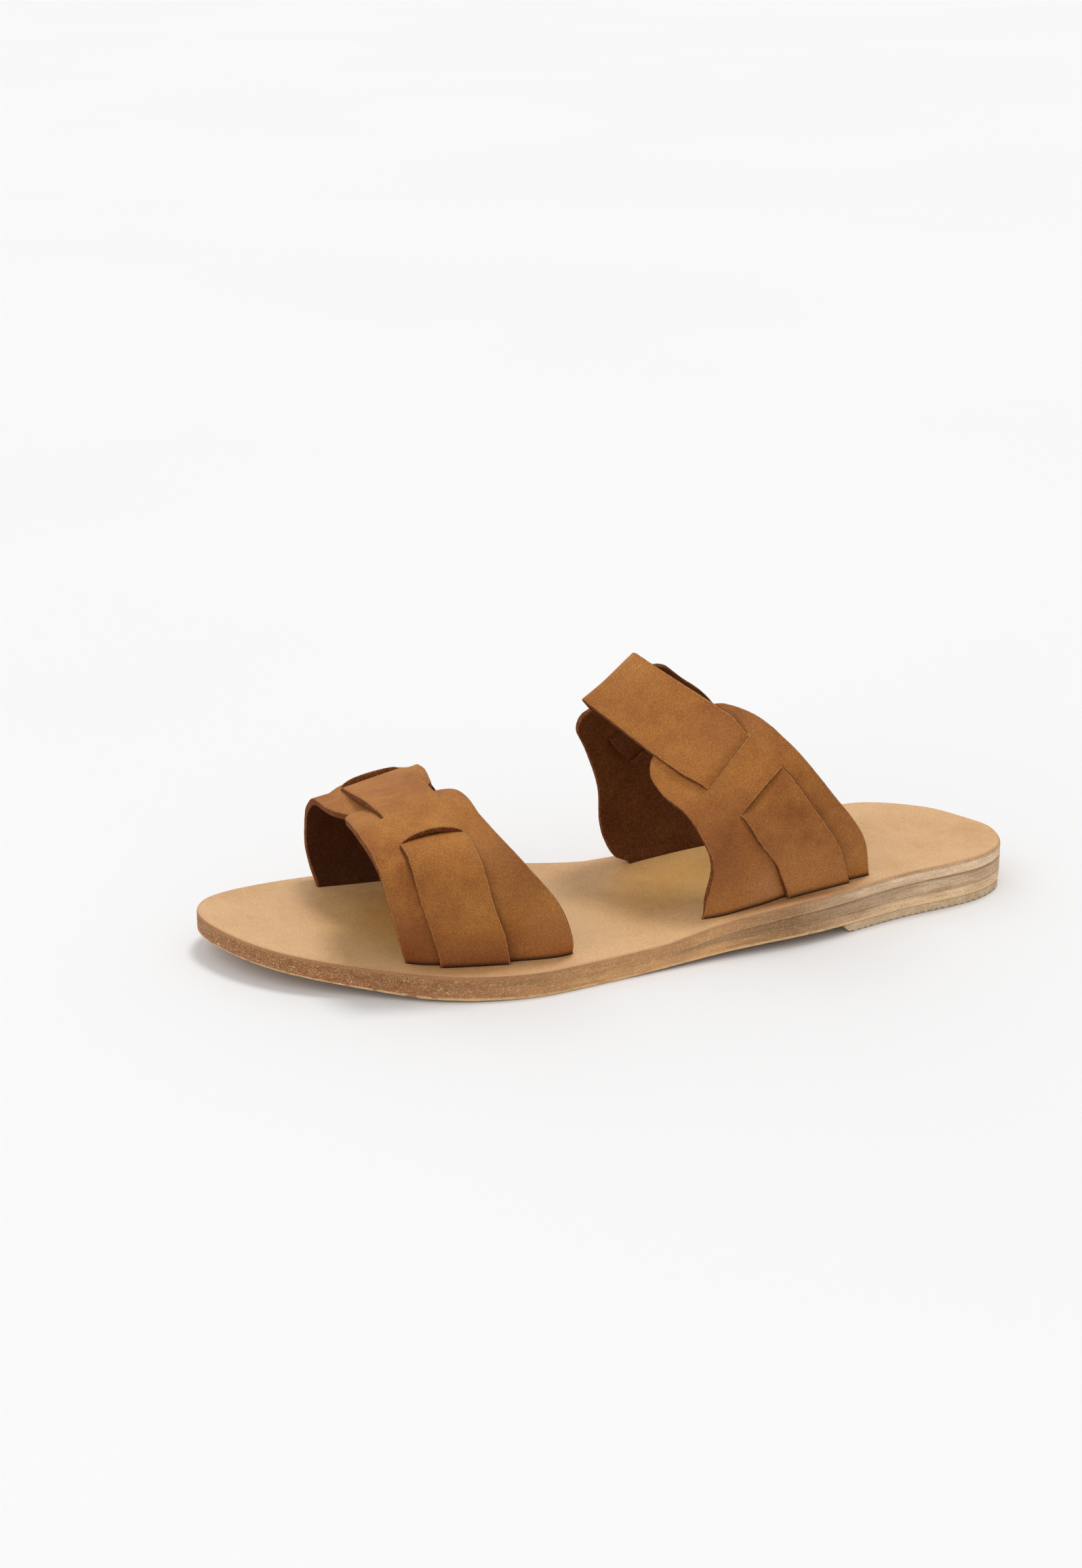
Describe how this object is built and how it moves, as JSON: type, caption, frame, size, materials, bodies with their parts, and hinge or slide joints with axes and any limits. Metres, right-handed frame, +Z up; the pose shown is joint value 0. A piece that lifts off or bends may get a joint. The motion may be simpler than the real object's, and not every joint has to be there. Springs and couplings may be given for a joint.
{
  "type": "leather slide sandal",
  "caption": "Flat open slide sandal: slotted leather bands, each with a link strap woven through it, over a thin stacked leather sole with a low rubber heel pad.",
  "frame": {"origin": "centre of the sandal's outline, on the floor it stands on", "axes": "-Y towards the toe, +Y towards the heel, +X towards the outer side of the left foot, +Z up"},
  "size_m": [0.0933, 0.2574, 0.0808],
  "materials": {
    "natural_leather": "smooth vegetable-tanned leather, pale tan",
    "stacked_leather": "raw stacked edge, brown",
    "sole_leather": "raw fibrous edge, orange tan",
    "crepe_rubber": "matt crepe, khaki",
    "tan_leather": "oiled nubuck, tan brown"
  },
  "bodies": {
    "root": {"outsole": "sole_leather", "heel_pad": "crepe_rubber", "heel_wedge": "stacked_leather", "footbed": "natural_leather", "front_band": "tan_leather", "instep_band": "tan_leather"}
  },
  "joints": []
}
